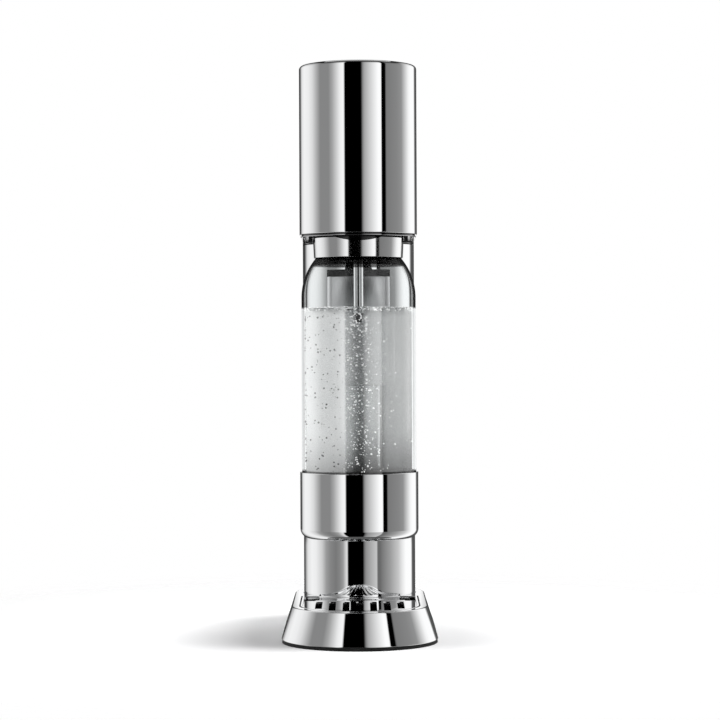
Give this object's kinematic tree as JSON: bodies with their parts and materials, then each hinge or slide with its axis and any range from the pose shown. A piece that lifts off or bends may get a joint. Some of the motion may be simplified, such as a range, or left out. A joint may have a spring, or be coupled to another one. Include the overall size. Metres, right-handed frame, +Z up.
{
  "type": "sparkling water maker",
  "caption": "Slim polished water carbonator with a swinging bottle holder, clear bottle with a metal cup, top push button, rear gas cylinder and lift-out drip tray.",
  "frame": {"origin": "middle of the footprint on the table", "axes": "+Z up, the front with the bottle faces -Y, +X across the stand"},
  "size_m": [0.1176, 0.2156, 0.4312],
  "materials": {
    "polished_metal": "mirror polished",
    "black_plastic": "fine moulded grain",
    "black_gloss": "gloss",
    "rest_panel": "satin",
    "rubber": "matte",
    "steel": "satin",
    "cylinder_metal": "satin",
    "brass": "machined",
    "handle_plastic": "satin",
    "clear_plastic": "clear"
  },
  "bodies": {
    "stand": {"base_skirt": "polished_metal", "base_core": "black_plastic", "base_plate": "black_plastic", "base_screws": "steel", "foot_ring": "rubber", "column_shell": "polished_metal", "back_rest": "rest_panel", "inner_frame": "black_plastic", "cylinder_seat": "black_plastic", "gas_manifold": "cylinder_metal", "manifold_seal": "rubber", "manifold_screws": "steel", "relief_valve": "brass", "gas_pipe": "steel", "pipe_fitting": "brass", "handle_pins": "steel", "lever_pivot_pin": "steel", "head_shell": "polished_metal", "head_trim": "polished_metal", "head_underside": "black_gloss", "head_chassis": "black_plastic", "trunnion_pins": "steel", "button_spring": "steel"},
    "tray": {"drip_tray": "black_plastic", "drip_grille": "polished_metal"},
    "cover": {"rear_cover": "polished_metal"},
    "button": {"carbonation_button": "polished_metal", "button_stem": "black_plastic", "stem_clip": "steel"},
    "lever": {"valve_lever": "steel"},
    "pin": {"valve_pin": "steel"},
    "gas": {"co2_cylinder": "cylinder_metal", "cylinder_valve": "brass"},
    "handle": {"quick_connect_handle": "handle_plastic"},
    "holder": {"holder_core": "black_plastic", "bottle_collar": "polished_metal", "neck_seal": "rubber", "neck_grip": "steel", "nozzle_tube": "polished_metal", "nozzle_tip": "black_plastic"},
    "bottle": {"bottle": "clear_plastic", "bottle_base_cup": "polished_metal"}
  },
  "joints": [
    {"name": "tray_lift", "type": "slide", "parent": "stand", "child": "tray", "axis": [0, 0, 1], "range_m": [0, 0.014]},
    {"name": "cover_slide", "type": "slide", "parent": "stand", "child": "cover", "axis": [0, 1, 0], "range_m": [0, 0.1]},
    {"name": "button_press", "type": "slide", "parent": "stand", "child": "button", "axis": [0, 0, -1], "range_m": [0, 0.008], "stiffness_N_per_m": 900, "springref_m": -0.006, "deforming": ["button_spring"]},
    {"name": "lever_swing", "type": "hinge", "parent": "stand", "child": "lever", "pos_m": [0, 0.067, 0.3962], "axis": [1, 0, 0], "range_deg": [0, 4]},
    {"name": "pin_push", "type": "slide", "parent": "stand", "child": "pin", "axis": [0, 0, -1], "range_m": [0, 0.0013]},
    {"name": "gas_drop", "type": "slide", "parent": "stand", "child": "gas", "axis": [0, 0, -1], "range_m": [0, 0.0035]},
    {"name": "handle_swing", "type": "hinge", "parent": "stand", "child": "handle", "pos_m": [0, 0.049, 0.3792], "axis": [1, 0, 0], "range_deg": [0, 62]},
    {"name": "holder_tilt", "type": "hinge", "parent": "stand", "child": "holder", "pos_m": [0, -0.049, 0.3172], "axis": [-1, 0, 0], "range_deg": [0, 10]},
    {"name": "bottle_release", "type": "slide", "parent": "holder", "child": "bottle", "axis": [0, 0, -1], "range_m": [0, 0.028]}
  ],
  "couplings": [
    {"joint": "lever_swing", "follows": "button_press", "rad_per_m": 8.62},
    {"joint": "pin_push", "follows": "button_press", "ratio": 0.155},
    {"joint": "handle_swing", "follows": "gas_drop", "rad_per_m": 309}
  ]
}
